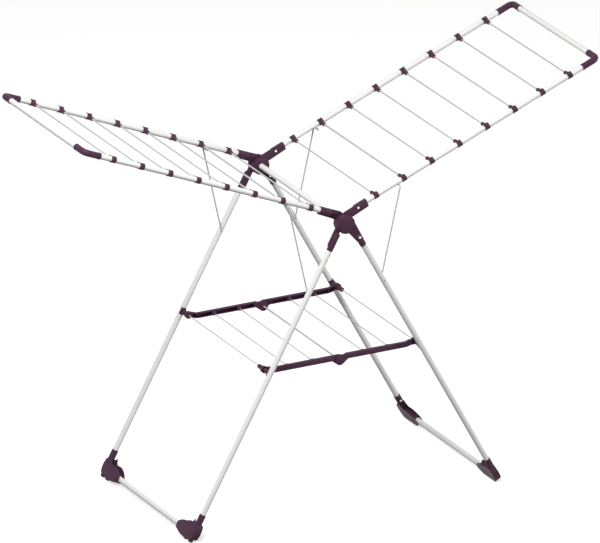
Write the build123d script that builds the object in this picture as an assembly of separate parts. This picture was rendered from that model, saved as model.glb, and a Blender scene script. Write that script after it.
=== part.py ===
"""Winged clothes drying rack, open, as separate pieces in one frame.

Millimetres. X runs along the spread wings, Y runs from the front frame (-Y)
to the back frame (+Y), Z is up and the floor is z = 0. The hub axle lies
along Y at x = 0. The right side is drawn at the front and mirrored.
"""
import os
from math import cos, hypot, radians, sin, tan

from build123d import *

OUT = "parts"
os.makedirs(OUT, exist_ok=True)

# Frame lines, found from the photograph
LEG_ANGLE = 28.83
WING_ANGLE = 22.29
LEG_Y = 269.0
WING_Y = 248.0
PIVOT_Z = 860.0
LEG_TOP_Z = 888.0
WING_TOP_Z = 880.0

# Tubes and wires
TUBE_R = 8.0
TUBE_WALL = 0.7
LINE_R = 1.6
RUN = 0.05
RIVET_R = 2.0
RIVET_HEAD_R = 3.4
RIVET_HEAD_H = 1.4
EDGE = 0.8

# Hub
EYE_R = 26.5
WING_EYE_R = 25.5
LEG_SOCKET_R = 9.5
WING_SOCKET_R = 9.3
LEG_SOCKET_FROM = 70.0
LEG_SOCKET_TO = 109.6
LEG_WEB_TO = 94.0
WING_SOCKET_FROM = 38.0
WING_SOCKET_TO = 77.0
WING_WEB_TO = 66.0
WING_WEB_DROP = 3.5
WAIST = 0.62
WEB_INSET = 0.7
WAIST_ROUND = 16.0
SADDLE_FROM = 33.0
SADDLE_D = 5.5
SOCKET_FLOOR = 3.0
SOCKET_ROUND = 4.0
LAYERS = {
    "left_wing": (240.0, 248.6),
    "right_wing": (249.2, 257.2),
    "left_leg": (258.9, 265.4),
    "right_leg": (265.9, 273.1),
}
AXLE_END = 273.6
CAP_R = 24.5
CAP_DOME_R = 155.0
CAP_T = 3.6
CAP_SPIGOT = 12.0

# Wings
CLIP_FIRST = 111.2
CLIP_PITCH = 94.2
CLIP_COUNT = 8
CLIP_R = 9.3
CLIP_LENGTH = 15.0
CLIP_BOSS_R = 5.0
CLIP_BOSS_TO = 234.2
LINE_GRIP = 5.0
WING_LENGTH = CLIP_FIRST + CLIP_COUNT * CLIP_PITCH
ELBOW_R = 9.2
ELBOW_RIM = 0.5
ELBOW_BEND = 15.0
ELBOW_LEG_X = 51.0
ELBOW_LEG_Y = 48.0
ELBOW_GRIP = 32.0

# Feet
FOOT_TOP_S = 928.0
FOOT_SOCKET_R = 9.5
FOOT_T = -2.0
FOOT_HALF_T = 9.8
FLOOR_TUBE_W = 61.0
LEG_TUBE_W = 44.0
FLOOR_TUBE_END_M = -6.0
GROOVE_FLOOR_W = 50.5
GROOVE_HALF = 7.8
FORK_M = 77.0
PLAIN_SOLE_W = 90.0
ROLLING_SOLE_W = 81.0
OUTER_WALL_W = 40.5
INNER_WALL_W = 37.0
EAR_R = 3.4
FOOT_LIFT = 4.0
ROLLER_R = 7.0
ROLLER_T = 1.0
ROLLER_W = 9.0
ROLLER_M = (0.0, 28.0)
ROLLER_PIN_R = 1.6
ROLLER_PIN_M = (-7.5, 35.5)
ROLLER_SIDE = 0.6

# Wing props
PROP_R = 2.2
PROP_Y = 258.5
PROP_TIP_Y = 231.5
PROP_TIP = 10.0
PROP_PIN_Y = 279.0
PROP_BEND = 2.4
PROP_GAP = 0.3
PROP_S_WING = 185.0
PROP_S_LEG = 241.0

# Shelf
SHELF_Z = 458.0
SHELF_X = (LEG_TOP_Z - SHELF_Z) * tan(radians(LEG_ANGLE))
SHELF_S = (LEG_TOP_Z - SHELF_Z) / cos(radians(LEG_ANGLE))
BAR_Y = (225.0, 237.0)
BAR_SPLIT = (230.8, 231.2)
BAR_Z = 452.0
BAR_HALF = 7.4
BAR_EYE_R = 10.0
BAR_ROUND = 3.5
BEND_X = 206.0
KNEE_Z = 443.0
KNEE_LUG_R = 14.5
KNEE_CLEAR = 0.6
KNEE_R = 2.5
KNEE_HEAD_R = 4.2
KNEE_HEAD_Y = (237.3, 239.0)
SHELF_PITCH = 79.4
STUB_R = 6.5
STUB_LONG = 202.0
STUB_SHORT = 224.0
STUB_GRIP = 8.0
COLLAR_R = 10.0
SADDLE_CUT = 4.6
COLLAR_LENGTH = 20.0
COLLAR_BOSS_R = 8.5
COLLAR_FACE = 256.5
STUB_FACE = 256.0

LOW = (Align.CENTER, Align.CENTER, Align.MIN)
LEG_SIN = sin(radians(LEG_ANGLE))
LEG_COS = cos(radians(LEG_ANGLE))
WING_SIN = sin(radians(WING_ANGLE))
WING_COS = cos(radians(WING_ANGLE))


def save(name, shape):
    """Write one piece, or one group of like pieces, as a STEP file."""
    solids = shape if isinstance(shape, list) else [shape]
    clean = [solid for piece in solids for solid in piece.solids()]
    body = clean[0] if len(clean) == 1 else Compound(children=clean)
    body.label = name
    export_step(body, os.path.join(OUT, name + ".step"))


def to_back(shape):
    return mirror(shape, about=Plane.XZ)


def to_left(shape):
    return mirror(shape, about=Plane.YZ)


def leg_plane(s, y=-LEG_Y):
    """Frame on the right leg's line: z runs down the leg, x points outward."""
    origin = (s * LEG_SIN, y, LEG_TOP_Z - s * LEG_COS)
    return Plane(origin=origin, x_dir=(LEG_COS, 0, LEG_SIN), z_dir=(LEG_SIN, 0, -LEG_COS))


def wing_plane(s, y=-WING_Y):
    """Frame on the right wing's line: z runs outward along the tube."""
    origin = (s * WING_COS, y, WING_TOP_Z + s * WING_SIN)
    return Plane(origin=origin, x_dir=(0, 1, 0), z_dir=(WING_COS, 0, WING_SIN))


def cross_plane(x, y, z):
    """Frame for round work along Y: z points to +Y."""
    return Plane(origin=(x, y, z), x_dir=(1, 0, 0), z_dir=(0, 1, 0))


def rod(plane, length, radius):
    return plane * Cylinder(radius, length, align=LOW)


def pipe(plane, length, radius=TUBE_R, wall=TUBE_WALL):
    return rod(plane, length, radius) - rod(plane, length, radius - wall)


def y_rod(x, z, y0, y1, radius):
    return rod(cross_plane(x, y0, z), y1 - y0, radius)


def slab(sketch, y0, y1):
    """Push a sketch drawn in X and Z through the slice y0 to y1."""
    plane = Plane(origin=(0, y1, 0), x_dir=(1, 0, 0), z_dir=(0, -1, 0))
    return extrude(plane * sketch, amount=y1 - y0)


def spot(x, z, radius):
    return Pos(x, z) * Circle(radius)


def link(a, b):
    """Tapered link outline around two circles given as (x, z, radius)."""
    ring = spot(*a).edges() + spot(*b).edges()
    return make_hull(ring)


def rivet(plane, half):
    """Through rivet with a low head at each end, across the plane's Y direction."""
    y = plane.origin.Y
    x, z = plane.origin.X, plane.origin.Z
    shank = y_rod(x, z, y - half, y + half, RIVET_R)
    front = rod(Plane(origin=(x, y - half, z), x_dir=(1, 0, 0), z_dir=(0, -1, 0)), RIVET_HEAD_H, RIVET_HEAD_R)
    back = rod(cross_plane(x, y + half, z), RIVET_HEAD_H, RIVET_HEAD_R)
    front = chamfer(front.edges().sort_by(Axis.Y)[:1], 0.7)
    back = chamfer(back.edges().sort_by(Axis.Y)[-1:], 0.7)
    return shank + front + back


def rivet_hole(plane, half):
    return y_rod(plane.origin.X, plane.origin.Z, plane.origin.Y - half, plane.origin.Y + half, RIVET_R)


# Rivet places on the right front pieces
LEG_HUB_RIVET = leg_plane(80.0)
FOOT_RIVET = leg_plane(FOOT_TOP_S + 19.0)
WING_HUB_RIVET = wing_plane(48.0)


def leg_tube():
    """Leg tube with its rivet holes and the hole for the prop's pin."""
    start = LEG_SOCKET_FROM + SOCKET_FLOOR
    body = pipe(leg_plane(start), FOOT_TOP_S + LEG_TUBE_W - start)
    body -= rivet_hole(LEG_HUB_RIVET, 20)
    body -= rivet_hole(FOOT_RIVET, 20)
    pin = leg_plane(PROP_S_LEG).origin
    return body - y_rod(pin.X, pin.Z, -LEG_Y - 20, -LEG_Y + 20, PROP_R + RUN)


def wing_saddle():
    """Frame on the wing tube's axis: x inward along Y, y up from the wing, z along it."""
    origin = wing_plane(SADDLE_FROM).origin
    return Plane(origin=origin, x_dir=(0, 1, 0), z_dir=(WING_COS, 0, WING_SIN))


def knuckle(side, kind, bore):
    """Hub knuckle of the right front: an eye on the axle, a web and a tube socket."""
    low, high = LAYERS[side + "_" + kind]
    if kind == "leg":
        frame, radius, eye, tip = leg_plane, LEG_SOCKET_R, EYE_R, leg_plane(LEG_WEB_TO).origin
        start, stop, pin = LEG_SOCKET_FROM, LEG_SOCKET_TO, LEG_HUB_RIVET
    else:
        frame, radius, eye = wing_plane, WING_SOCKET_R, WING_EYE_R
        tip = wing_plane(WING_WEB_TO).origin + Vector(WING_SIN, 0, -WING_COS) * WING_WEB_DROP
        start, stop, pin = WING_SOCKET_FROM, WING_SOCKET_TO, WING_HUB_RIVET
    outline = spot(0, PIVOT_Z, eye) + link((0, PIVOT_Z, eye * WAIST), (tip.X, tip.Z, radius - WEB_INSET))
    waist = [v for v in outline.vertices() if abs(hypot(v.X, v.Y - PIVOT_Z) - eye) < 0.01]
    outline = fillet(waist, WAIST_ROUND)
    web = slab(outline, -high, -low)
    web = chamfer(web.faces().sort_by(Axis.Y)[0].edges(), EDGE)
    socket = rod(frame(start), stop - start, radius)
    inner = socket.edges().filter_by(GeomType.CIRCLE).sort_by_distance((0, -LEG_Y, PIVOT_Z))[0]
    body = web + fillet(inner, SOCKET_ROUND)
    body -= rod(frame(start + SOCKET_FLOOR), stop, TUBE_R)
    body -= y_rod(0, PIVOT_Z, -high - 1, -low + 1, TUBE_R + bore)
    if kind == "wing":
        body -= wing_saddle() * Pos(-SADDLE_D, 0, 0) * Box(40, 40, 60, align=(Align.MIN,) * 3)
    seat = pin.origin
    body -= y_rod(seat.X, seat.Z, seat.Y + radius, seat.Y + radius + 5, RIVET_HEAD_R + RUN)
    return body - rivet_hole(pin, 20)


def foot_spot(w, t=FOOT_T):
    """Place in the right front foot: w down the leg from the foot's top, t outward across the leg."""
    return leg_plane(FOOT_TOP_S + w).origin + Vector(LEG_COS, 0, LEG_SIN) * t


def foot_outline(sole_w, wall_w):
    """Side of the foot with a given depth of sole and height of wall: x inward along Y, y down the leg."""
    heel = ThreePointArc((-FOOT_SOCKET_R, 30), (-15, 55), (-9, 73))
    sole = ThreePointArc((-9, 73), (32, sole_w), (75, 74))
    toe = ThreePointArc((75, 74), (89.5, 62), (86, 51))
    top = ThreePointArc((86, 51), (64, wall_w), (30, wall_w - 2))
    spur = Polyline((30, wall_w - 2), (23, wall_w - 5), (14, 19), (FOOT_SOCKET_R, 25), (-FOOT_SOCKET_R, 30))
    return make_face([heel, sole, toe, top] + spur.edges())


def roller_axis():
    """Height and place of the rollers' pin under the right front foot, as (x, z)."""
    s = (LEG_TOP_Z + ROLLER_T * LEG_SIN - ROLLER_R) / LEG_COS
    return s * LEG_SIN + ROLLER_T * LEG_COS, ROLLER_R


def foot(rolling):
    """Shoe on the leg's end: a socket for the leg, and two walls with a bore for the floor tube."""
    side = Plane(origin=foot_spot(0), x_dir=(0, 1, 0), z_dir=(-LEG_COS, 0, -LEG_SIN))
    sole_w = ROLLING_SOLE_W if rolling else PLAIN_SOLE_W
    body = extrude(side * foot_outline(sole_w, OUTER_WALL_W), amount=-FOOT_HALF_T)
    body += extrude(side * foot_outline(sole_w, INNER_WALL_W), amount=FOOT_HALF_T)
    level = FOOT_LIFT if rolling else 0.0
    axis = foot_spot(FLOOR_TUBE_W)
    body -= Pos(axis.X, -LEG_Y, level - 50) * Box(200, 300, 100)
    if rolling:
        x, z = roller_axis()
        ear = link((x, z, EAR_R), (x - EAR_R, z + 3 * EAR_R, EAR_R))
        body += slab(ear, -LEG_Y + ROLLER_PIN_M[0] - 1, -LEG_Y + ROLLER_PIN_M[1] + 1)
    groove = Pos(FOOT_SOCKET_R + 60, GROOVE_FLOOR_W - 40) * Rectangle(120, 80)
    body -= extrude(side * groove, amount=GROOVE_HALF, both=True)
    fork = Pos(FORK_M + 20, FLOOR_TUBE_W - 40) * Rectangle(40, 80)
    body -= extrude(side * fork, amount=TUBE_R, both=True)
    body += rod(leg_plane(FOOT_TOP_S), LEG_TUBE_W, FOOT_SOCKET_R)
    body -= rod(leg_plane(FOOT_TOP_S - 1), LEG_TUBE_W + 1, TUBE_R)
    body -= y_rod(axis.X, axis.Z, -LEG_Y + FLOOR_TUBE_END_M, -LEG_Y + 120, TUBE_R)
    body -= rivet_hole(FOOT_RIVET, 20)
    if rolling:
        pocket = ROLLER_R + ROLLER_SIDE
        half = ROLLER_W / 2 + ROLLER_SIDE
        for m in ROLLER_M:
            body -= y_rod(x, z, -LEG_Y + m - half, -LEG_Y + m + half, pocket)
            body -= Pos(x, -LEG_Y + m, z - 10) * Box(2 * pocket, 2 * half, 20)
        ends = (-LEG_Y + ROLLER_PIN_M[0] - 0.5, -LEG_Y + ROLLER_PIN_M[1] + 0.5)
        body -= y_rod(x, z, ends[0], ends[1], ROLLER_PIN_R + RUN)
    return body


def roller():
    """Twin roller of one rolling foot on its own pin."""
    x, z = roller_axis()
    body = y_rod(x, z, -LEG_Y + ROLLER_PIN_M[0], -LEG_Y + ROLLER_PIN_M[1], ROLLER_PIN_R)
    for m in ROLLER_M:
        wheel = y_rod(x, z, -LEG_Y + m - ROLLER_W / 2, -LEG_Y + m + ROLLER_W / 2, ROLLER_R)
        body += chamfer(wheel.edges().filter_by(GeomType.CIRCLE), EDGE)
    return body


def floor_tube():
    axis = foot_spot(FLOOR_TUBE_W)
    end = LEG_Y - FLOOR_TUBE_END_M
    return pipe(cross_plane(axis.X, -end, axis.Z), 2 * end)


def wing_tube():
    start = WING_SOCKET_FROM + SOCKET_FLOOR
    stop = WING_LENGTH - ELBOW_LEG_X + ELBOW_GRIP
    return pipe(wing_plane(start), stop - start) - rivet_hole(WING_HUB_RIVET, 20)


def elbow():
    """Corner of the wing: a bent sleeve over the side tube and the end tube."""
    corner = wing_plane(WING_LENGTH).origin
    along = Vector(WING_COS, 0, WING_SIN)
    first = corner - along * ELBOW_LEG_X
    last = corner + Vector(0, ELBOW_LEG_Y, 0)
    path = FilletPolyline(first, corner, last, radius=ELBOW_BEND)
    section = Plane(origin=first, z_dir=(WING_COS, 0, WING_SIN)) * Circle(ELBOW_R)
    body = sweep(section, path=path)
    body += rod(wing_plane(WING_LENGTH - ELBOW_LEG_X), 4, ELBOW_R + ELBOW_RIM)
    body += rod(Plane(origin=last, x_dir=(1, 0, 0), z_dir=(0, -1, 0)), 4, ELBOW_R + ELBOW_RIM)
    body -= rod(wing_plane(WING_LENGTH - ELBOW_LEG_X - 1), ELBOW_GRIP + 1, TUBE_R)
    return body - rod(Plane(origin=last + Vector(0, 1, 0), x_dir=(1, 0, 0), z_dir=(0, -1, 0)), ELBOW_GRIP + 1, TUBE_R)


def end_tube():
    corner = wing_plane(WING_LENGTH).origin
    half = WING_Y - ELBOW_LEG_Y + ELBOW_GRIP
    return pipe(cross_plane(corner.X, -half, corner.Z), 2 * half)


def clip(index):
    """Clip on the wing tube: a split-free band and a boss that takes a wire's end."""
    s = CLIP_FIRST + index * CLIP_PITCH
    centre = wing_plane(s).origin
    band = rod(wing_plane(s - CLIP_LENGTH / 2), CLIP_LENGTH, CLIP_R)
    body = band + y_rod(centre.X, centre.Z, -WING_Y, -CLIP_BOSS_TO, CLIP_BOSS_R)
    body -= rod(wing_plane(s - CLIP_LENGTH), 2 * CLIP_LENGTH, TUBE_R)
    return body - y_rod(centre.X, centre.Z, -CLIP_BOSS_TO - LINE_GRIP, -CLIP_BOSS_TO + 1, LINE_R)


def hanging_wire(index):
    centre = wing_plane(CLIP_FIRST + index * CLIP_PITCH).origin
    end = CLIP_BOSS_TO + LINE_GRIP
    return y_rod(centre.X, centre.Z, -end, end, LINE_R)


def prop_points():
    """Pin in the leg and peg under the wing tube, right side, as (x, z)."""
    pin = leg_plane(PROP_S_LEG).origin
    wing = wing_plane(PROP_S_WING).origin
    drop = TUBE_R + PROP_R + PROP_GAP
    return (pin.X, pin.Z), (wing.X + drop * WING_SIN, wing.Z - drop * WING_COS)


def prop():
    """Bent wire that holds a wing tube up from its leg, hooked round under the tube."""
    pin, peg = prop_points()
    tip = (peg[0] - PROP_TIP * WING_SIN, peg[1] + PROP_TIP * WING_COS)
    points = [(pin[0], -PROP_PIN_Y, pin[1]), (pin[0], -PROP_Y, pin[1])]
    points += [(peg[0], -PROP_Y, peg[1]), (peg[0], -PROP_TIP_Y, peg[1]), (tip[0], -PROP_TIP_Y, tip[1])]
    path = FilletPolyline(*points, radius=PROP_BEND)
    section = Plane(origin=points[0], z_dir=(0, 1, 0)) * Circle(PROP_R)
    return sweep(section, path=path)


def collar():
    """Saddle on the leg's inner side at the shelf's pivot, right front, with a boss towards the shelf."""
    body = rod(leg_plane(SHELF_S - COLLAR_LENGTH / 2), COLLAR_LENGTH, COLLAR_R)
    body += y_rod(SHELF_X, SHELF_Z, -LEG_Y, -COLLAR_FACE, COLLAR_BOSS_R)
    body -= Pos(SHELF_X, -LEG_Y + SADDLE_CUT - 50, SHELF_Z) * Box(100, 100, 100)
    return body - rod(leg_plane(SHELF_S - COLLAR_LENGTH), 2 * COLLAR_LENGTH, TUBE_R)


def stub_collar(reach):
    """Collar with a stub axle that the shelf bar turns on."""
    body = collar() + y_rod(SHELF_X, SHELF_Z, -LEG_Y + TUBE_R + 1, -reach, STUB_R)
    body -= rod(leg_plane(SHELF_S - COLLAR_LENGTH), 2 * COLLAR_LENGTH, TUBE_R)
    return body - y_rod(SHELF_X, SHELF_Z, -reach - STUB_GRIP, -reach + 1, LINE_R)


def stub(reach):
    body = y_rod(SHELF_X, SHELF_Z, -STUB_FACE, -reach, STUB_R)
    return body - y_rod(SHELF_X, SHELF_Z, -reach - STUB_GRIP, -reach + 1, LINE_R)


def shelf_bar(inner, pivot_bore, knee_bore):
    """Right front bar of the shelf: an eye, a bend and half of the knee."""
    low, high = BAR_Y
    cut_in, cut_out = BAR_SPLIT
    own = (low, cut_in) if inner else (cut_out, high)
    other = (cut_out, high) if inner else (low, cut_in)
    straight = Pos(BEND_X / 2, BAR_Z) * Rectangle(BEND_X, 2 * BAR_HALF)
    bend = link((BEND_X, BAR_Z, BAR_HALF), (SHELF_X, SHELF_Z, BAR_EYE_R))
    whole = straight + bend
    lug = spot(0, KNEE_Z, KNEE_LUG_R)
    room = spot(0, KNEE_Z, KNEE_LUG_R + KNEE_CLEAR)
    body = slab(whole, -high, -low)
    body = fillet(body.faces().sort_by(Axis.Y)[0].edges() + body.faces().sort_by(Axis.Y)[-1].edges(), BAR_ROUND)
    body -= slab(room, -high - 1, -low + 1)
    hinge = slab(whole, -high, -low)
    hinge = fillet(hinge.faces().sort_by(Axis.Y)[0].edges() + hinge.faces().sort_by(Axis.Y)[-1].edges(), BAR_ROUND)
    hinge &= slab(room, -own[1], -own[0])
    body += hinge + slab(lug, -own[1], -own[0])
    body -= y_rod(0, KNEE_Z, -own[1] - 1, -own[0] + 1, KNEE_R + knee_bore)
    body -= y_rod(0, KNEE_Z, -other[1] - 1, -own[1], KNEE_LUG_R + KNEE_CLEAR) if inner else y_rod(
        0, KNEE_Z, -own[0], -other[0] + 1, KNEE_LUG_R + KNEE_CLEAR
    )
    body -= y_rod(SHELF_X, SHELF_Z, -high - 1, -low + 1, STUB_R + pivot_bore)
    for x in (SHELF_PITCH, 2 * SHELF_PITCH):
        body -= y_rod(x, BAR_Z, -low - 6, -low + 1, LINE_R)
    return body


def shelf_wire(x):
    end = BAR_Y[0] + 6
    return y_rod(x, BAR_Z, -end, end, LINE_R)


def pivot_wire(front, back):
    return y_rod(SHELF_X, SHELF_Z, -front - STUB_GRIP, back + STUB_GRIP, LINE_R)


def knee_wire():
    end = KNEE_HEAD_Y[1]
    body = y_rod(0, KNEE_Z, -end, end, KNEE_R)
    body += y_rod(0, KNEE_Z, -end, -KNEE_HEAD_Y[0], KNEE_HEAD_R)
    return body + y_rod(0, KNEE_Z, KNEE_HEAD_Y[0], end, KNEE_HEAD_R)


def hub_cap():
    """Domed cover on the front end of the hub axle."""
    disc = y_rod(0, PIVOT_Z, -AXLE_END - CAP_T, -AXLE_END, CAP_R)
    disc &= Pos(0, -AXLE_END - CAP_T + CAP_DOME_R, PIVOT_Z) * Sphere(CAP_DOME_R)
    return disc + y_rod(0, PIVOT_Z, -AXLE_END, -AXLE_END + CAP_SPIGOT, TUBE_R - TUBE_WALL)


def both_ends(name, shape):
    save(name + "_front", shape)
    save(name + "_back", to_back(shape))


# Legs, feet and floor tubes
tube = leg_tube()
both_ends("right_leg_tube", tube)
both_ends("left_leg_tube", to_left(tube))
both_ends("right_leg_knuckle", knuckle("right", "leg", RUN))
both_ends("left_leg_knuckle", to_left(knuckle("left", "leg", 0)))
both_ends("right_foot", foot(False))
both_ends("left_foot", to_left(foot(True)))
save("right_floor_tube", floor_tube())
save("left_floor_tube", to_left(floor_tube()))
both_ends("roller", to_left(roller()))
pins = [rivet(LEG_HUB_RIVET, LEG_SOCKET_R), rivet(FOOT_RIVET, FOOT_SOCKET_R)]
pins += [to_back(pin) for pin in pins]
save("right_leg_rivets", pins)
save("left_leg_rivets", [to_left(pin) for pin in pins])

# Hub
save("axle_tube", pipe(cross_plane(0, -AXLE_END, PIVOT_Z), 2 * AXLE_END))
save("hub_caps", [hub_cap(), to_back(hub_cap())])

# Wings
pins = [rivet(WING_HUB_RIVET, WING_SOCKET_R)]
pins += [to_back(pin) for pin in pins]
clips = [clip(index) for index in range(CLIP_COUNT)]
wires = [hanging_wire(index) for index in range(CLIP_COUNT)]
for side in ("right", "left"):
    place = to_left if side == "left" else (lambda shape: shape)
    both_ends(side + "_wing_tube", place(wing_tube()))
    both_ends(side + "_wing_knuckle", place(knuckle(side, "wing", RUN)))
    both_ends(side + "_wing_elbow", place(elbow()))
    save(side + "_wing_end_tube", place(end_tube()))
    save(side + "_wing_clips_front", [place(one) for one in clips])
    save(side + "_wing_clips_back", [to_back(place(one)) for one in clips])
    save(side + "_wing_wires", [place(one) for one in wires])
    save(side + "_wing_rivets", [place(pin) for pin in pins])
    both_ends(side + "_prop", place(prop()))

# Shelf
save("left_shelf_collars", [to_left(stub_collar(STUB_LONG)), to_back(to_left(stub_collar(STUB_SHORT)))])
save("right_shelf_collars", [collar(), to_back(collar())])
both_ends("left_shelf_bar", to_left(shelf_bar(True, RUN, 0)))
both_ends("right_shelf_bar", shelf_bar(False, 0, RUN))
lines = [shelf_wire(SHELF_PITCH), shelf_wire(2 * SHELF_PITCH)]
save("right_shelf_wires", lines)
save("left_shelf_wires", [to_left(line) for line in lines])
save("knee_wire", knee_wire())
save("right_shelf_stubs", [stub(STUB_SHORT), to_back(stub(STUB_LONG))])
save("left_pivot_wire", to_left(pivot_wire(STUB_LONG, STUB_SHORT)))
save("right_pivot_wire", pivot_wire(STUB_SHORT, STUB_LONG))
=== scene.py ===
# %% [markdown]
# A folding clothes airer: white tubes crossed on a hub axle, two wings strung with coated lines, a
# shelf of lines between the legs, and aubergine mouldings at every joint. The solid parts come in
# as a fixed frame, in metres, and this lesson gives them their finishes and adds the small moulded
# and turned pieces that make them look real.

# %% Load the frame
import math

import bmesh
import bpy
from mathutils import Matrix, Quaternion, Vector


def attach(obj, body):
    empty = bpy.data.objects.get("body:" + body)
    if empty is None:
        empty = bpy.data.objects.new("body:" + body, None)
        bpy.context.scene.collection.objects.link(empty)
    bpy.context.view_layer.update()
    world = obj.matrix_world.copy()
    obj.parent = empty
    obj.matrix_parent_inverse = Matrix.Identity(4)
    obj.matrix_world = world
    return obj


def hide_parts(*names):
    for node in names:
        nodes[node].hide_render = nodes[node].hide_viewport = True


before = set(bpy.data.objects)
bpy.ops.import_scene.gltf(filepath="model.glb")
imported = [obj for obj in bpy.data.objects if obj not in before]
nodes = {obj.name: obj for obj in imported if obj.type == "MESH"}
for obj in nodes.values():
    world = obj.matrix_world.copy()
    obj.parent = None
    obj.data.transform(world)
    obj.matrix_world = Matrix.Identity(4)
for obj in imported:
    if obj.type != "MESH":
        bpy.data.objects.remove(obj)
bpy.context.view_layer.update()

# %% [markdown]
# The picture was taken from far away with a long lens, 28 degrees to the left of the front and 21
# degrees up. A wide lens close by would also fill the frame, but it would make the near legs
# longer than the far ones, so the camera stands 37 m off with a lens to match.

# %% Camera
MM = 0.001
LOOK_AT = Vector((-3.9, -0.8, 627.8)) * MM
AZIMUTH = math.radians(-27.637)
ELEVATION = math.radians(21.455)
ROLL = math.radians(0.09)
DISTANCE = 37.11
LENS = 796.9
SENSOR_WIDTH = 36.0
SIGHT_END = 200.0

towards = Vector((
    math.sin(AZIMUTH) * math.cos(ELEVATION),
    -math.cos(AZIMUTH) * math.cos(ELEVATION),
    math.sin(ELEVATION),
))
camera = bpy.data.objects.new("camera", bpy.data.cameras.new("camera"))
bpy.context.scene.collection.objects.link(camera)
camera.location = LOOK_AT + towards * DISTANCE
camera.rotation_mode = "QUATERNION"
camera.rotation_quaternion = (-towards).to_track_quat("-Z", "Y") @ Quaternion((0, 0, 1), ROLL)
camera.data.lens = LENS
camera.data.sensor_width = SENSOR_WIDTH
camera.data.clip_end = SIGHT_END
bpy.context.scene.camera = camera
print("camera at", tuple(round(x, 2) for x in camera.location))

# %% [markdown]
# Every finish below is built from nodes. A colour is written as the sRGB hex value that a paint
# chart would give and turned to the linear value that Blender mixes with. One helper adds a node,
# sets it up and links it, so that a material reads from top to bottom like a recipe.

# %% Colour and node helpers
def linear(code):
    """Linear colour of an sRGB hex value such as #F2F2F0."""
    parts = [int(code[i:i + 2], 16) / 255 for i in (1, 3, 5)]
    parts = [p / 12.92 if p <= 0.04045 else ((p + 0.055) / 1.055) ** 2.4 for p in parts]
    return (*parts, 1.0)


def add(tree, kind, sockets=None, **settings):
    """Add a node, set its properties, and fill or link its sockets."""
    made = tree.nodes.new(kind)
    for name, value in settings.items():
        setattr(made, name, value)
    for name, value in (sockets or {}).items():
        if isinstance(value, bpy.types.NodeSocket):
            tree.links.new(value, made.inputs[name])
        else:
            made.inputs[name].default_value = value
    return made


def blank(name):
    """A material with an empty node tree."""
    material = bpy.data.materials.new(name)
    material.use_nodes = True
    material.node_tree.nodes.clear()
    return material, material.node_tree


def waves(size_mm):
    """Texture scale for features of this size, in Object coordinates that are in metres."""
    return 1.0 / (size_mm * MM)


print("white is", [round(x, 3) for x in linear("#F4F4F2")])

# %% [markdown]
# The tubes are steel with a white polyester powder coat. The powder melts into a smooth satin
# skin that keeps a faint orange peel, with waves a little over a millimetre long. An image of the
# peel would need every tube unwrapped, so a noise bump gives it, and a slow noise shifts the white
# a little, as film thickness does on a real batch. Pattern sizes are in millimetres.

# %% Powder-coated steel
FILM_PATCH = 70.0
PEEL_WAVE = 1.4
PEEL_DEPTH = 0.2

powder_coat, tree = blank("white_powder_coated_steel")
coords = add(tree, "ShaderNodeTexCoord").outputs["Object"]
film = add(tree, "ShaderNodeTexNoise", {"Vector": coords, "Scale": waves(FILM_PATCH), "Detail": 2.0})
white = add(tree, "ShaderNodeMix", {
    "Factor": film.outputs["Fac"], "A": linear("#F1F1EF"), "B": linear("#F8F8F7"),
}, data_type="RGBA")
peel = add(tree, "ShaderNodeTexNoise", {"Vector": coords, "Scale": waves(PEEL_WAVE), "Detail": 1.0})
skin = add(tree, "ShaderNodeBump", {
    "Height": peel.outputs["Fac"], "Strength": 0.12, "Distance": PEEL_DEPTH * MM,
})
sheen = add(tree, "ShaderNodeMapRange", {"Value": film.outputs["Fac"], "To Min": 0.40, "To Max": 0.52})
surface = add(tree, "ShaderNodeBsdfPrincipled", {
    "Base Color": white.outputs["Result"], "Roughness": sheen.outputs["Result"],
    "Normal": skin.outputs["Normal"], "IOR": 1.5, "Specular IOR Level": 0.2,
})
add(tree, "ShaderNodeOutputMaterial", {"Surface": surface.outputs["BSDF"]})
print("made", powder_coat.name)

# %% [markdown]
# The hanging lines and the props are thinner steel wire in a pale grey polyester coat. The coat
# is drawn over the wire, so it is a little glossier than powder and shows faint streaks along
# its length rather than peel. A noise that is stretched in the direction of the lines gives such
# streaks, with no need to unwrap each line.

# %% Coated wire
STREAK_WIDTH = 0.9
STREAK_DEPTH = 0.1
ALONG_LINES = (1.0, 0.04, 1.0)

coated_wire, tree = blank("pale_grey_coated_wire")
coords = add(tree, "ShaderNodeTexCoord").outputs["Object"]
drawn = add(tree, "ShaderNodeMapping", {"Vector": coords, "Scale": ALONG_LINES}).outputs["Vector"]
streaks = add(tree, "ShaderNodeTexNoise", {"Vector": drawn, "Scale": waves(STREAK_WIDTH), "Detail": 2.0})
grey = add(tree, "ShaderNodeMix", {
    "Factor": streaks.outputs["Fac"], "A": linear("#BEBFC1"), "B": linear("#CBCCCE"),
}, data_type="RGBA")
skin = add(tree, "ShaderNodeBump", {
    "Height": streaks.outputs["Fac"], "Strength": 0.08, "Distance": STREAK_DEPTH * MM,
})
surface = add(tree, "ShaderNodeBsdfPrincipled", {
    "Base Color": grey.outputs["Result"], "Roughness": 0.32, "Normal": skin.outputs["Normal"], "IOR": 1.5,
})
add(tree, "ShaderNodeOutputMaterial", {"Surface": surface.outputs["BSDF"]})
print("made", coated_wire.name)

# %% [markdown]
# Hub, clips, elbows, shelf bars and feet are moulded polypropylene in an aubergine colour. The
# mould was spark-eroded, which leaves a fine satin grain of about half a millimetre, drawn here
# at twice that so that it shows. Small cells make a more even grain than noise would. Colour
# drifts slightly where the melt flowed, and the satin is uneven in the same slow pattern.

# %% Moulded polypropylene
FLOW_PATCH = 22.0
SPARK_GRAIN = 1.0
GRAIN_DEPTH = 0.2

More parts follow.
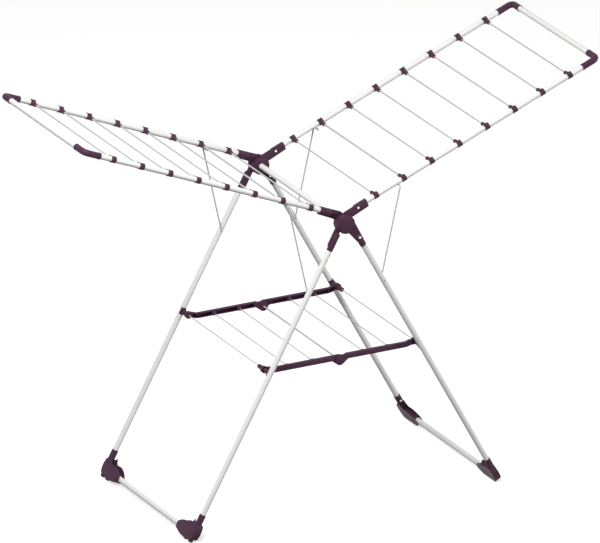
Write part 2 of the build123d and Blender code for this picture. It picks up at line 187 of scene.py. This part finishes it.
aubergine, tree = blank("aubergine_moulded_polypropylene")
coords = add(tree, "ShaderNodeTexCoord").outputs["Object"]
flow = add(tree, "ShaderNodeTexNoise", {"Vector": coords, "Scale": waves(FLOW_PATCH), "Detail": 3.0})
tint = add(tree, "ShaderNodeMix", {
    "Factor": flow.outputs["Fac"], "A": linear("#482B41"), "B": linear("#53374B"),
}, data_type="RGBA")
grain = add(tree, "ShaderNodeTexVoronoi", {"Vector": coords, "Scale": waves(SPARK_GRAIN)})
skin = add(tree, "ShaderNodeBump", {
    "Height": grain.outputs["Distance"], "Strength": 0.18, "Distance": GRAIN_DEPTH * MM,
})
satin = add(tree, "ShaderNodeMapRange", {"Value": flow.outputs["Fac"], "To Min": 0.44, "To Max": 0.54})
surface = add(tree, "ShaderNodeBsdfPrincipled", {
    "Base Color": tint.outputs["Result"], "Roughness": satin.outputs["Result"],
    "Normal": skin.outputs["Normal"], "IOR": 1.49, "Specular IOR Level": 0.12,
})
add(tree, "ShaderNodeOutputMaterial", {"Surface": surface.outputs["BSDF"]})
print("made", aubergine.name)

# %% [markdown]
# The rivets are zinc-plated steel, bright against the dark mouldings. Plating keeps the small
# tool marks of the snap that formed the head. A perfect mirror would turn all white or all dark,
# so a fine noise breaks up the highlight.

# %% Zinc-plated rivets
TOOL_MARK = 0.8

zinc, tree = blank("zinc_plated_rivet_steel")
coords = add(tree, "ShaderNodeTexCoord").outputs["Object"]
marks = add(tree, "ShaderNodeTexNoise", {"Vector": coords, "Scale": waves(TOOL_MARK), "Detail": 3.0})
bright = add(tree, "ShaderNodeMix", {
    "Factor": marks.outputs["Fac"], "A": linear("#D2D3D4"), "B": linear("#F0F0F0"),
}, data_type="RGBA")
dull = add(tree, "ShaderNodeMapRange", {"Value": marks.outputs["Fac"], "To Min": 0.22, "To Max": 0.4})
surface = add(tree, "ShaderNodeBsdfPrincipled", {
    "Base Color": bright.outputs["Result"], "Roughness": dull.outputs["Result"], "Metallic": 1.0,
})
add(tree, "ShaderNodeOutputMaterial", {"Surface": surface.outputs["BSDF"]})
print("made", zinc.name)

# %% [markdown]
# The rollers under the left feet are black nylon. They scuff on the floor, so they are greyer in
# patches and slightly uneven. Wear could be painted by hand, but on wheels this small one noise
# is enough for both the grey and the unevenness.

# %% Black nylon
SCUFF = 3.0
SCUFF_DEPTH = 0.2

nylon, tree = blank("black_scuffed_nylon")
coords = add(tree, "ShaderNodeTexCoord").outputs["Object"]
scuffs = add(tree, "ShaderNodeTexNoise", {"Vector": coords, "Scale": waves(SCUFF), "Detail": 4.0})
dark = add(tree, "ShaderNodeMix", {
    "Factor": scuffs.outputs["Fac"], "A": linear("#101012"), "B": linear("#27272A"),
}, data_type="RGBA")
skin = add(tree, "ShaderNodeBump", {
    "Height": scuffs.outputs["Fac"], "Strength": 0.15, "Distance": SCUFF_DEPTH * MM,
})
surface = add(tree, "ShaderNodeBsdfPrincipled", {
    "Base Color": dark.outputs["Result"], "Roughness": 0.5, "Normal": skin.outputs["Normal"], "IOR": 1.53,
})
add(tree, "ShaderNodeOutputMaterial", {"Surface": surface.outputs["BSDF"]})
print("made", nylon.name)

# %% [markdown]
# Each solid part takes the finish of what it is made of. A list of all the parts would do, but
# their names say it already: tubes are powder coated, wires and props are coated wire, rivets are
# plated, rollers are nylon, and all else is moulded.

# %% Finishes of the solid parts
def finish_of(name):
    """Finish for a part, read from its name."""
    if "rivets" in name:
        return zinc
    if "roller" in name:
        return nylon
    if "wire" in name or "prop" in name:
        return coated_wire
    if "tube" in name:
        return powder_coat
    return aubergine


for name, part in nodes.items():
    part.data.materials.clear()
    part.data.materials.append(finish_of(name))
print("finished", len(nodes), "parts")

# %% [markdown]
# Most of the added pieces sit on a leg or on a wing tube, so two functions give a place on those
# axes from the distance along them. The alternative, a list of coordinates, would hide what a
# piece sits on. Lengths are in millimetres, as on a drawing. Left and front are minus, right and
# back are plus.

# %% Places on the tubes
LEFT = -1
RIGHT = 1
FRONT = -1
BACK = 1
MIDDLE = 0
SIDES = (("left", LEFT), ("right", RIGHT))
ENDS = (("front", FRONT), ("back", BACK))
LEG_ANGLE = math.radians(28.83)
WING_ANGLE = math.radians(22.29)
LEG_Y = 269.0
WING_Y = 248.0
LEG_TOP_Z = 888.0
WING_TOP_Z = 880.0


def leg_spot(down, side, end):
    """Place on a leg's axis, so many mm below its top."""
    return Vector((side * down * math.sin(LEG_ANGLE), end * LEG_Y, LEG_TOP_Z - down * math.cos(LEG_ANGLE)))


def wing_spot(out, side, end):
    """Place on a wing tube's axis, so many mm out from the hub."""
    return Vector((side * out * math.cos(WING_ANGLE), end * WING_Y, WING_TOP_Z + out * math.sin(WING_ANGLE)))


print("front left leg starts at", tuple(leg_spot(0, LEFT, FRONT)))

# %% [markdown]
# A turned shape starts as half of its section, a short chain of vertices, and the spin operator
# carries it round. The Screw modifier could do that too, but the operator gives a plain mesh that
# can be copied at once. Copies are set in place with a matrix each, so that a finished object
# sits at the origin with its place in its mesh.

# %% Turning helpers
MERGE_DISTANCE = 1e-4


def verts_in(parts):
    """The vertices among the parts of a mesh that an operator gave back."""
    return [part for part in parts if isinstance(part, bmesh.types.BMVert)]


def turned(section, steps):
    """Turn a section of (radius, height) points, in mm, round the Z axis."""
    bm = bmesh.new()
    chain = [bm.verts.new((radius, 0, height)) for radius, height in section]
    lines = [bm.edges.new(pair) for pair in zip(chain, chain[1:])]
    bmesh.ops.spin(
        bm, geom=chain + lines, cent=(0, 0, 0), axis=(0, 0, 1),
        angle=2 * math.pi, steps=steps, use_merge=True,
    )
    bmesh.ops.remove_doubles(bm, verts=bm.verts[:], dist=MERGE_DISTANCE)
    return bm


def facing(place, direction):
    """Matrix that sets a turned shape at a place, in mm, with its axis along a direction."""
    turn = Vector(direction).to_track_quat("Z", "Y").to_matrix().to_4x4()
    return Matrix.Translation(Vector(place)) @ turn


def set_out(bm, places):
    """Replace a shape by copies of itself, one for each matrix."""
    first = bm.verts[:] + bm.edges[:] + bm.faces[:]
    for place in places:
        copy = bmesh.ops.duplicate(bm, geom=first)["geom"]
        bmesh.ops.transform(bm, matrix=place, verts=verts_in(copy))
    bmesh.ops.delete(bm, geom=verts_in(first), context="VERTS")
    return bm


def joined(bm, other):
    """Put a second shape into the first."""
    carrier = bpy.data.meshes.new("carrier")
    other.to_mesh(carrier)
    other.free()
    bm.from_mesh(carrier)
    bpy.data.meshes.remove(carrier)
    return bm


print("points closer than", MERGE_DISTANCE, "mm are merged")

# %% [markdown]
# Every shape is finished in the same way. It is scaled to metres, its normals are turned outwards,
# and it is shaded smooth with its sharp edges kept. Then it takes its finish and rides on a body,
# so that it follows that body when the airer folds. A parent could carry it as well, but the frame
# already knows how each body moves.

# %% Finishing a piece
SHARP_ANGLE = math.radians(35)


def built(bm, name, finish):
    """Make an object with one finish from a shape."""
    mesh = bpy.data.meshes.new(name)
    bm.to_mesh(mesh)
    bm.free()
    mesh.materials.append(finish)
    made = bpy.data.objects.new(name, mesh)
    bpy.context.scene.collection.objects.link(made)
    return made


def piece(bm, name, body, finish):
    """Make a finished object from a shape in mm and let it ride on a body."""
    bmesh.ops.scale(bm, vec=(MM, MM, MM), verts=bm.verts[:])
    bmesh.ops.recalc_face_normals(bm, faces=bm.faces[:])
    for face in bm.faces:
        face.smooth = True
    for edge in bm.edges:
        edge.smooth = not edge.is_manifold or edge.calc_face_angle(0) < SHARP_ANGLE
    made = built(bm, name, finish)
    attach(made, body)
    print("made", name, len(made.data.polygons), "faces")
    return made


print("edges over", round(math.degrees(SHARP_ANGLE)), "degrees stay sharp")

# %% [markdown]
# Blind rivets hold the tubes in the hub and in the feet. Each is set from one side, where it
# shows a low dome with a small sunken mandrel in its middle. A sphere cut in half would look too
# full, so the dome's section is drawn: a thin rim, a flat crown, and the step to the mandrel.

# %% Rivet heads
RIVET_SECTION = [
    (0, -0.3), (3.4, -0.3), (3.4, 0.35), (3.0, 0.8), (2.2, 1.2), (1.4, 1.38),
    (1.2, 1.3), (1.1, 0.95), (0.9, 1.05), (0, 1.15),
]
LEG_SLEEVE_R = 9.5
WING_SLEEVE_R = 9.3
HUB_RIVET_AT = 80.0
FOOT_RIVET_AT = 947.0
WING_RIVET_AT = 48.0

for label, side in SIDES:
    # Heads face the back on the left and the front on the right, but the front feet's face the back.
    heads = []
    for end in (FRONT, BACK):
        for down in (HUB_RIVET_AT, FOOT_RIVET_AT):
            on_front_foot = down == FOOT_RIVET_AT and end == FRONT
            out = BACK if on_front_foot else -side
            spot = leg_spot(down, side, end) + Vector((0, out * LEG_SLEEVE_R, 0))
            heads.append(facing(spot, (0, out, 0)))
    rivets = piece(
        set_out(turned(RIVET_SECTION, steps=24), heads), label + "_leg_rivet_heads",
        label + "_leg_frame", zinc,
    )
    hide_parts(label + "_leg_rivets")
    heads = []
    for end in (FRONT, BACK):
        spot = wing_spot(WING_RIVET_AT, side, end) + Vector((0, -side * WING_SLEEVE_R, 0))
        heads.append(facing(spot, (0, -side, 0)))
    rivets = piece(
        set_out(turned(RIVET_SECTION, steps=24), heads), label + "_wing_rivet_heads",
        label + "_wing", zinc,
    )
    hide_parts(label + "_wing_rivets")

# %% [markdown]
# Several mouldings are flat arms with round ends. Such an arm could be drawn point by point, but
# it is only a skin stretched round a few discs. So a convex hull round pairs of circles makes it,
# and a bevel eases its edges.

# %% Stretched plates
DISC_POINTS = 40
EDGE_EASE = 0.8
FLAT_ANGLE = math.radians(1)
RIM_ANGLE = math.radians(60)


def hulled(bm):
    """Stretch a skin round all the points of a shape and drop the points inside."""
    hull = bmesh.ops.convex_hull(bm, input=bm.verts[:])
    spare = set(hull["geom_interior"]) | set(hull["geom_unused"])
    bmesh.ops.delete(bm, geom=verts_in(spare), context="VERTS")
    loose = [e for e in bm.edges if not e.link_faces]
    bmesh.ops.delete(bm, geom=loose, context="EDGES")
    bmesh.ops.dissolve_limit(bm, angle_limit=FLAT_ANGLE, verts=bm.verts[:], edges=bm.edges[:])


def stretched(discs, low, high):
    """Plate stretched round discs of (x, z, radius), in mm, between two y values."""
    bm = bmesh.new()
    for x, z, radius in discs:
        for y in (low, high):
            ring = Matrix.Translation((x, y, z)) @ Matrix.Rotation(math.pi / 2, 4, "X")
            bmesh.ops.create_circle(bm, segments=DISC_POINTS, radius=radius, matrix=ring)
    hulled(bm)
    rims = [e for e in bm.edges if e.calc_face_angle(0) > RIM_ANGLE]
    bmesh.ops.bevel(
        bm, geom=rims, offset=EDGE_EASE, offset_type="OFFSET", affect="EDGES",
        segments=2, profile=0.5, material=-1, clamp_overlap=True,
    )
    return bm


print("plates have edges eased by", EDGE_EASE, "mm")

# %% [markdown]
# Four mouldings share each end of the hub axle, one for each tube, in layers so that they pass
# each other. Each has a round eye on the axle, a flat arm, and a sleeve for its tube. The arm is a
# stretched plate, and each of its discs is given by its place along the tube, its place across it,
# and its radius. The eye and the sleeve are turned, since they are round about the axle and the
# tube, and a section shows their eased rims better than a bevelled cylinder would.

# %% Sections of the hub mouldings
LAYERS = {
    "left_wing": (240.0, 248.6), "right_wing": (249.2, 257.2),
    "left_leg": (258.9, 265.4), "right_leg": (265.9, 273.1),
}
WING_ARM = [(10.0, 0.0, 9.3), (12.5, -8.3, 8.0), (60.0, -4.2, 9.3), (77.5, -12.0, 1.5), (77.5, 7.8, 1.5)]
ARM_DISCS = {
    "left_wing": WING_ARM, "right_wing": WING_ARM,
    "left_leg": [(29.6, 0.6, 8.9), (94.0, 0.0, 8.9)],
    "right_leg": [(29.6, 3.8, 7.0), (45.6, -14.4, 6.0), (94.0, 0.0, 9.5)],
}
EYE_R = {"wing": 25.5, "leg": 26.5}
SLEEVE_R = {"left_wing": 9.3, "right_wing": 9.3, "left_leg": 8.9, "right_leg": 9.5}
SLEEVE_FROM = {"left_wing": 38.0, "right_wing": 38.0, "left_leg": 56.0, "right_leg": 70.0}
SLEEVE_TO = {"wing": 79.0, "leg": 109.6}
BORE_R = 8.05
END_WALL = 3.2


def eye_section(radius, low, high):
    """Half section of an eye with eased rims, from the axle's bore outwards."""
    return [
        (BORE_R, low), (radius - 0.8, low), (radius - 0.2, low + 0.3), (radius, low + 0.9),
        (radius, high - 0.9), (radius - 0.2, high - 0.3), (radius - 0.8, high), (BORE_R, high), (BORE_R, low),
    ]


def sleeve_section(radius, length):
    """Half section of a tube sleeve: a rounded closed end, and an eased mouth."""
    return [
        (0, 0), (radius - 4.0, 0), (radius - 1.9, 0.6), (radius - 0.6, 2.0), (radius, 4.2),
        (radius, length - 0.7), (radius - 0.3, length - 0.1), (radius - 0.7, length),
        (BORE_R, length), (BORE_R, END_WALL), (0, END_WALL),
    ]


def layer_of(label, kind, end):
    """Layer of a moulding. The wings' two layers change places at the back."""
    if kind == "wing" and end == BACK:
        label = {"left": "right", "right": "left"}[label]
    return LAYERS[label + "_" + kind]


print("hub layers", LAYERS)

# %% [markdown]
# The eight mouldings differ only in their sizes, so one loop makes them all. Modelling one side and
# mirroring it would not do, because left and right lie in different layers.

# %% Hub mouldings
PIVOT_Z = 860.0
ARM_INSET = 0.3

for label, side in SIDES:
    for kind, spot_at in (("wing", wing_spot), ("leg", leg_spot)):
        for end_label, end in ENDS:
            name = label + "_" + kind
            low, high = layer_of(label, kind, end)
            along = spot_at(1, side, end) - spot_at(0, side, end)
            across = side * Vector((-along.z, 0, along.x))
            discs = []
            for far, aside, radius in ARM_DISCS[name]:
                centre = spot_at(far, side, end) + across * aside
                discs.append((centre.x, centre.z, radius))
            bm = stretched(discs, end * (low + ARM_INSET), end * (high - ARM_INSET))
            eye = turned(eye_section(EYE_R[kind], low, high), steps=64)
            bm = joined(bm, set_out(eye, [facing((0, 0, PIVOT_Z), (0, end, 0))]))
            start = SLEEVE_FROM[name]
            sleeve = turned(sleeve_section(SLEEVE_R[name], SLEEVE_TO[kind] - start), steps=40)
            bm = joined(bm, set_out(sleeve, [facing(spot_at(start, side, end), along)]))
            body = name if kind == "wing" else name + "_frame"
            arm = piece(bm, name + "_hub_arm_" + end_label, body, aubergine)
            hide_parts(name + "_knuckle_" + end_label)

# %% [markdown]
# A domed cover snaps on each end of the hub axle. The moulding has a rounded rim, a shallow ring
# groove that hides the sink marks, and a gate mark at its centre. All of these are rings round one
# axis, so one turned section has them all, where insets would take a step for each.

# %% Hub covers
CAP_FACE = 273.6
CAP_SECTION = [
    (0, -2.0), (24.3, -2.0), (24.5, 0.2), (24.4, 0.9), (23.9, 1.5), (23.0, 1.85), (21.6, 2.1),
    (21.2, 1.75), (20.6, 1.75), (20.2, 2.3), (16.0, 2.8), (10.0, 3.3), (5.0, 3.52),
    (2.6, 3.58), (2.3, 3.3), (0, 3.25),
]
axle_ends = [facing((0, end * CAP_FACE, PIVOT_Z), (0, end, 0)) for end in (FRONT, BACK)]
bm = set_out(turned(CAP_SECTION, steps=64), axle_ends)
covers = piece(bm, "hub_covers", "left_leg_frame", aubergine)
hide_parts("hub_caps")

# %% [markdown]
# Eight clips on each side of a wing hold the hanging lines. A clip is a band round the tube with
# a bead at each edge, and a stout arm towards the middle of the wing that tapers to its line. Both
# are round about an axis, so two turned shapes make one clip, and no boolean is needed. The lines
# are as thick as their coat makes them. The second line of each wing is a stiffer rod, which braces
# the wing above the props.

# %% Line clips
CLIP_FIRST = 111.2
CLIP_PITCH = 94.2
CLIP_COUNT = 8
BAND_SECTION = [
    (8.02, -7.5), (9.2, -7.5), (9.8, -6.9), (9.8, -5.9), (9.4, -5.2), (9.4, 5.2), (9.8, 5.9),
    (9.8, 6.9), (9.2, 7.5), (8.02, 7.5), (8.02, -7.5),
]
ARM_SECTION = [
    (0, 7.5), (6.9, 7.5), (6.8, 11.0), (6.3, 15.0), (5.9, 19.0), (5.9, 23.2), (5.2, 25.2),
    (3.6, 26.0), (0, 26.0),
]
LINE_R = 2.1
BRACE_R = 2.6
LINE_END = 224.0
BRACE_INDEX = 1


def clip_spots(side, end):
    """Places of the clips on a wing tube, from the hub outwards."""
    return [wing_spot(CLIP_FIRST + i * CLIP_PITCH, side, end) for i in range(CLIP_COUNT)]


def line_section(radius):
    """Half section of a straight line between the clips of a wing."""
    return [(0, -LINE_END), (radius, -LINE_END), (radius, LINE_END), (0, LINE_END)]


for label, side in SIDES:
    along = Vector((side * math.cos(WING_ANGLE), 0, math.sin(WING_ANGLE)))
    for end_label, end in ENDS:
        spots = clip_spots(side, end)
        bm = set_out(turned(BAND_SECTION, steps=32), [facing(spot, along) for spot in spots])
        inwards = [facing(spot, (0, -end, 0)) for spot in spots]
        bm = joined(bm, set_out(turned(ARM_SECTION, steps=20), inwards))
        name = label + "_wing_line_clips_" + end_label
        clips = piece(bm, name, label + "_wing", aubergine)
        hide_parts(label + "_wing_clips_" + end_label)
    middles = [facing(spot, (0, 1, 0)) for spot in clip_spots(side, MIDDLE)]
    bm = set_out(turned(line_section(BRACE_R), steps=16), [middles.pop(BRACE_INDEX)])
    piece(bm, label + "_wing_brace_rod", label + "_wing", coated_wire)
    bm = set_out(turned(line_section(LINE_R), steps=16), middles)
    lines = piece(bm, label + "_wing_coated_lines", label + "_wing", coated_wire)
    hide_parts(label + "_wing_wires")

# %% [markdown]
# Each left foot runs on a pair of small rollers on one pin. The tyre has round shoulders and a
# groove in its tread, and the sides are dished round the hub. A bevelled cylinder would give the
# shoulders alone, so the whole wheel is one turned section. The plain discs of the solid model
# keep their place in the simulation and are hidden here.

# %% Rollers
ROLLER_Z = 7.0
ROLLER_OUT = 1.0
WHEEL_SPACING = 28.0
WHEEL_SECTION = [
    (0, -4.4), (2.6, -4.4), (2.8, -3.7), (4.9, -3.7), (5.2, -4.5), (6.0, -4.5), (6.7, -4.1), (7.0, -3.3),
    (7.0, -0.7), (6.6, -0.5), (6.6, 0.5), (7.0, 0.7), (7.0, 3.3), (6.7, 4.1), (6.0, 4.5), (5.2, 4.5),
    (4.9, 3.7), (2.8, 3.7), (2.6, 4.4), (0, 4.4),
]
PIN_SECTION = [(0, -21.5), (1.4, -21.5), (1.6, -21.2), (1.6, 21.2), (1.4, 21.5), (0, 21.5)]

# The pin lies a little outside the leg's axis, at the height of the wheel's radius.
leg_drop = LEG_TOP_Z + ROLLER_OUT * math.sin(LEG_ANGLE) - ROLLER_Z
roller_x = -leg_drop * math.tan(LEG_ANGLE) - ROLLER_OUT * math.cos(LEG_ANGLE)

for end_label, end in ENDS:
    wheel_ys = (LEG_Y, LEG_Y - WHEEL_SPACING)
    axles = [facing((roller_x, end * y, ROLLER_Z), (0, 1, 0)) for y in wheel_ys]
    bm = set_out(turned(WHEEL_SECTION, steps=32), axles)
    pin = facing((roller_x, end * (LEG_Y - WHEEL_SPACING / 2), ROLLER_Z), (0, 1, 0))
    bm = joined(bm, set_out(turned(PIN_SECTION, steps=16), [pin]))
    wheels = piece(bm, "twin_roller_" + end_label, "roller_" + end_label, nylon)
    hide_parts("roller_" + end_label)

# %% [markdown]
# The outer side of each foot swells gently, like the cheek of a shoe, so that it slides off an
# ankle or a skirting board. A flat wall would look like cut sheet. The cheek is a skin stretched
# round a heel disc, a sole disc and a toe disc, each repeated smaller and higher like a pillow. A
# disc is given by its place inwards, its place down the leg, and its radius, and a layer by how
# much its discs shrink and how far it rises from the wall.

# %% Foot cheeks
FOOT_TOP_AT = 928.0
FOOT_WALL = 7.8
CHEEK_DISCS = [(4.0, 55.0, 14.0), (32.0, 62.0, 12.0), (70.0, 61.0, 10.5)]
CHEEK_LAYERS = [(0.0, -0.6), (0.0, 0.5), (0.5, 1.1), (1.5, 1.8), (3.2, 2.4), (5.6, 2.8), (8.4, 3.0)]


def foot_frame(side, end):
    """Matrix from a foot's own lines, inward, down the leg and outward, to the airer."""
    down = Vector((side * math.sin(LEG_ANGLE), 0, -math.cos(LEG_ANGLE)))
    out = Vector((side * math.cos(LEG_ANGLE), 0, math.sin(LEG_ANGLE)))
    turn = Matrix((Vector((0, -end, 0)), down, out)).transposed().to_4x4()
    return Matrix.Translation(leg_spot(FOOT_TOP_AT, side, end)) @ turn


for label, side in SIDES:
    for end_label, end in ENDS:
        bm = bmesh.new()
        for inward, down, radius in CHEEK_DISCS:
            for shrink, rise in CHEEK_LAYERS:
                level = Matrix.Translation((inward, down, FOOT_WALL + rise))
                bmesh.ops.create_circle(bm, segments=DISC_POINTS, radius=radius - shrink, matrix=level)
        hulled(bm)
        bmesh.ops.transform(bm, matrix=foot_frame(side, end), verts=bm.verts[:])
        piece(bm, label + "_foot_cheek_" + end_label, label + "_leg_frame", aubergine)

# %% [markdown]
# A shelf bar is moulded as a channel: closed on the outside, and hollow towards the shelf, which
# is why its inner side looks almost black. It is stretched round discs like the hub arms. A boolean
# could cut the hollow, but an inset of the inner face, pushed in, leaves walls of even thickness.
# The straight and the bend are hollow. The eye on the leg, the link to it and the lug of the knee
# are solid, and the two lugs of a knee share the bar's thickness.

# %% Hollow of a shelf bar
CHANNEL_WALL = 0.6
CHANNEL_DEPTH = 10.4
FACING_SHARE = 0.9


def hollowed(bm, inward):
    """Push the face that looks inward into its plate and leave a wall round it."""
    inner = [f for f in bm.faces if f.normal.y * inward > FACING_SHARE]
    wide = max(inner, key=lambda f: f.calc_area())
    bmesh.ops.inset_region(bm, faces=[wide], thickness=CHANNEL_WALL, use_even_offset=True)
    pushed = bmesh.ops.extrude_face_region(bm, geom=[wide])["geom"]
    bmesh.ops.translate(bm, vec=(0, -inward * CHANNEL_DEPTH, 0), verts=verts_in(pushed))
    bmesh.ops.delete(bm, geom=[wide], context="FACES_ONLY")
    return bm


print("channels are", CHANNEL_DEPTH, "mm deep")

# %% [markdown]
# Each bar is put together from its straight outwards: the bend, the link and the eye towards the
# leg, then the lug of the knee, and a boss behind each line. One outline for all of it could not be
# a hull, because the bar is bent. Plates that meet are set back by a few tenths of a millimetre,
# because two faces in one plane would show as blotches in the render.

# %% Shelf bars
BAR_Z = 452.0
BAR_INNER = 225.0
BAR_OUTER = 237.0
BAR_HALF = 7.4
BAR_START = 23.0
STRAIGHT_STOP = 206.0
BEND_START = STRAIGHT_STOP + 6
BEND_START_Z = BAR_Z + 0.6
BEND_STOP = 222.0
BEND_SET_BACK = 0.2
SHELF_X = 236.7
SHELF_Z = 458.0
BEND_STOP_Z = SHELF_Z - 2
LINK_INNER = BAR_OUTER - 5.4
LINK_OUTER = BAR_OUTER - 0.3
BAR_EYE_R = 10.0
BAR_EYE_SECTION = [
    (0, -0.3), (BAR_EYE_R, -0.3), (BAR_EYE_R, -6), (BAR_EYE_R, -11.4), (BAR_EYE_R - 0.6, -12), (0, -12),
]
KNEE_Z = 443.0
KNEE_LUG_R = 14.5
LUG_LAYERS = {"left": (225.2, 230.6), "right": (231.4, 236.8)}
SHELF_PITCH = 79.4
SHELF_LINES = (1, 2)
BOSS_SECTION = [(0, -CHANNEL_DEPTH), (4.6, -CHANNEL_DEPTH), (4.2, 0), (0, 0)]


def line_ends(side, end):
    """Where the shelf lines meet the inner side of a bar, facing the shelf."""
    return [facing((side * n * SHELF_PITCH, end * BAR_INNER, BAR_Z), (0, -end, 0)) for n in SHELF_LINES]


for label, side in SIDES:
    for end_label, end in ENDS:
        straight = [(side * BAR_START, BAR_Z, BAR_HALF), (side * STRAIGHT_STOP, BAR_Z, BAR_HALF)]
        bm = hollowed(stretched(straight, end * BAR_INNER, end * BAR_OUTER), -end)
        bend = [(side * BEND_START, BEND_START_Z, BAR_HALF), (side * BEND_STOP, BEND_STOP_Z, BAR_HALF)]
        bend = stretched(bend, end * (BAR_INNER + BEND_SET_BACK), end * (BAR_OUTER - BEND_SET_BACK))
        bm = joined(bm, hollowed(bend, -end))
        link = [(side * BEND_STOP, BEND_STOP_Z, BAR_HALF), (side * SHELF_X, SHELF_Z, BAR_EYE_R)]
        bm = joined(bm, stretched(link, end * LINK_INNER, end * LINK_OUTER))
        eye = facing((side * SHELF_X, end * BAR_OUTER, SHELF_Z), (0, end, 0))
        bm = joined(bm, set_out(turned(BAR_EYE_SECTION, steps=32), [eye]))
        low, high = LUG_LAYERS[label]
        lug = [(0, KNEE_Z, KNEE_LUG_R), (0, BAR_Z, BAR_HALF), (side * BAR_START, BAR_Z, BAR_HALF)]
        bm = joined(bm, stretched(lug, end * low, end * high))
        bm = joined(bm, set_out(turned(BOSS_SECTION, steps=20), line_ends(side, end)))
        name = label + "_shelf_bar"
        bar = piece(bm, name + "_channel_" + end_label, "shelf_" + label, aubergine)
        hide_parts(name + "_" + end_label)

# %% [markdown]
# Each shelf line goes into a small cone on the inner side of its bar, and the knee pin of each
# bar is covered by a flat domed button. Both are moulded with the bars. They could be scaled
# spheres, but both have a straight skirt before they round off, so their sections are turned.

# %% Shelf cones and knee buttons
CONE_SECTION = [(0, -1.0), (6.2, -1.0), (6.2, 3.0), (5.4, 7.0), (3.8, 10.4), (2.8, 11.0), (0, 11.0)]
BUTTON_SECTION = [(0, -0.1), (7.4, -0.1), (7.4, 0.9), (7.0, 1.5), (6.0, 2.0), (3.0, 2.3), (0, 2.4)]

for label, side in SIDES:
    cones = line_ends(side, FRONT) + line_ends(side, BACK)
    bm = set_out(turned(CONE_SECTION, steps=24), cones)
    piece(bm, label + "_shelf_line_cones", "shelf_" + label, aubergine)
knees = [facing((0, end * BAR_OUTER, KNEE_Z), (0, end, 0)) for end in (FRONT, BACK)]
bm = set_out(turned(BUTTON_SECTION, steps=32), knees)
piece(bm, "knee_buttons", "shelf_left", aubergine)

# %% [markdown]
# The floor catches a soft shadow. It is white to the camera and to mirrors, so that the picture
# keeps its white ground, and a mid grey to the light that bounces, so that the undersides of the
# tubes stay as grey as they are in a studio. More light would whiten the ground as well, but it
# would wash out the tubes.

# %% Floor
FLOOR_HALF = 30.0
FLOOR_DROP = 0.5
BOUNCE_GREY = 0.14
PAPER_GREY = 0.85
PAPER_LIFT = 0.6
PURE_WHITE = (1.0, 1.0, 1.0, 1.0)


def plain_sight(tree):
    """Socket that is 1 where the camera, a mirror or glass looks straight at a surface."""
    path = add(tree, "ShaderNodeLightPath").outputs
    direct = add(tree, "ShaderNodeMath", {
        0: path["Is Camera Ray"], 1: path["Is Glossy Ray"],
    }, operation="MAXIMUM")
    seen = add(tree, "ShaderNodeMath", {
        0: direct.outputs["Value"], 1: path["Is Transmission Ray"],
    }, operation="MAXIMUM")
    return seen.outputs["Value"]


ground, tree = blank("white_studio_floor")
seen = plain_sight(tree)
bounce = add(tree, "ShaderNodeBsdfDiffuse", {"Color": (BOUNCE_GREY, BOUNCE_GREY, BOUNCE_GREY, 1.0)})
paper = add(tree, "ShaderNodeBsdfDiffuse", {"Color": (PAPER_GREY, PAPER_GREY, PAPER_GREY, 1.0)})
lift = add(tree, "ShaderNodeEmission", {"Color": PURE_WHITE, "Strength": PAPER_LIFT})
shown = add(tree, "ShaderNodeAddShader", {0: paper.outputs["BSDF"], 1: lift.outputs["Emission"]})
mixed = add(tree, "ShaderNodeMixShader", {0: seen, 1: bounce.outputs["BSDF"], 2: shown.outputs["Shader"]})
add(tree, "ShaderNodeOutputMaterial", {"Surface": mixed.outputs["Shader"]})

bm = bmesh.new()
bmesh.ops.create_grid(bm, x_segments=1, y_segments=1, size=FLOOR_HALF)
bmesh.ops.translate(bm, vec=(0, 0, -FLOOR_DROP * MM), verts=bm.verts[:])
floor = built(bm, "studio_floor", ground)
print("floor laid")

# %% [markdown]
# The light is plain and soft. The room gives a dim even light. A large lamp hangs overhead in
# front, a little to the camera's left, and a weaker one stands low at the right, so that the right
# side of each tube does not go dark. A single sun would be simpler, but its shadows are too hard.

# %% Light
ROOM_LIGHT = 0.26
WHITE_LEVEL = 1.0

world = bpy.data.worlds.new("studio")
bpy.context.scene.world = world
world.use_nodes = True
tree = world.node_tree
tree.nodes.clear()
room = add(tree, "ShaderNodeBackground", {"Color": PURE_WHITE, "Strength": ROOM_LIGHT})
white_room = add(tree, "ShaderNodeBackground", {"Color": PURE_WHITE, "Strength": WHITE_LEVEL})
sky = add(tree, "ShaderNodeMixShader", {
    0: plain_sight(tree), 1: room.outputs["Background"], 2: white_room.outputs["Background"],
})
add(tree, "ShaderNodeOutputWorld", {"Surface": sky.outputs["Shader"]})


def lamp(name, place, size, watts):
    """Hang a round soft lamp that faces the middle of the airer."""
    made = bpy.data.objects.new(name, bpy.data.lights.new(name, "AREA"))
    bpy.context.scene.collection.objects.link(made)
    made.data.shape = "DISK"
    made.data.size = size
    made.data.energy = watts
    made.location = place
    made.rotation_mode = "QUATERNION"
    made.rotation_quaternion = (LOOK_AT - made.location).to_track_quat("-Z", "Y")
    print("lamp", name, watts, "W")


lamp("overhead_lamp", place=(-2.3, -2.2, 4.7), size=2.0, watts=224.0)
lamp("right_lamp", place=(4.3, -2.5, 0.85), size=1.6, watts=72.0)

# %% [markdown]
# The view transform is the plain one, so that a colour shows as it was written.

# %% Finish
bpy.context.scene.view_settings.view_transform = "Standard"
